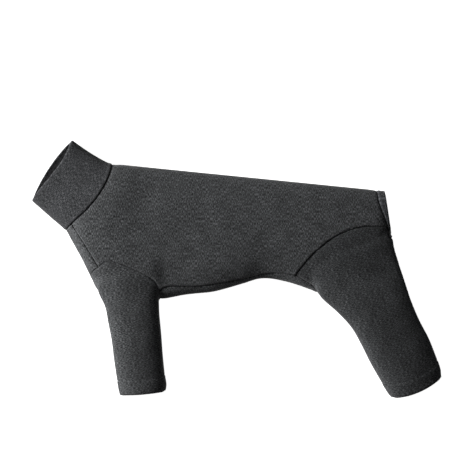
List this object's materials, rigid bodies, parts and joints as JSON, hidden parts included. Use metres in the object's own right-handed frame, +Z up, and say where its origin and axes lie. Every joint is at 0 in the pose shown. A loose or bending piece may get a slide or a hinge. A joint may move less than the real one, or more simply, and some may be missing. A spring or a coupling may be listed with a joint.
{
  "type": "dog jumpsuit",
  "caption": "Knit dog jumpsuit with a folded collar, back and under panels, sewn-in legs with turned-up hems and a banded rear opening, lying on its side and softly filled out.",
  "frame": {"origin": "middle of the box round the laid-out jumpsuit, on the surface that it lies on", "axes": "+X from the collar to the tail, +Y from the belly to the back, +Z up from the surface, out of the jumpsuit's left side"},
  "size_m": [0.7298, 0.4612, 0.0619],
  "materials": {
    "collar_knit": "soft brushed heather knit, charcoal, folded double",
    "body_knit": "soft brushed heather knit, charcoal",
    "leg_knit": "soft brushed heather knit, charcoal",
    "band_knit": "soft brushed heather knit, charcoal, bound edge"
  },
  "bodies": {
    "root": {"collar": "collar_knit", "body_panel": "body_knit", "under_panel": "body_knit", "front_leg_left": "leg_knit", "front_leg_right": "leg_knit", "rear_leg_left": "leg_knit", "rear_leg_right": "leg_knit", "rear_band": "band_knit"}
  },
  "joints": []
}
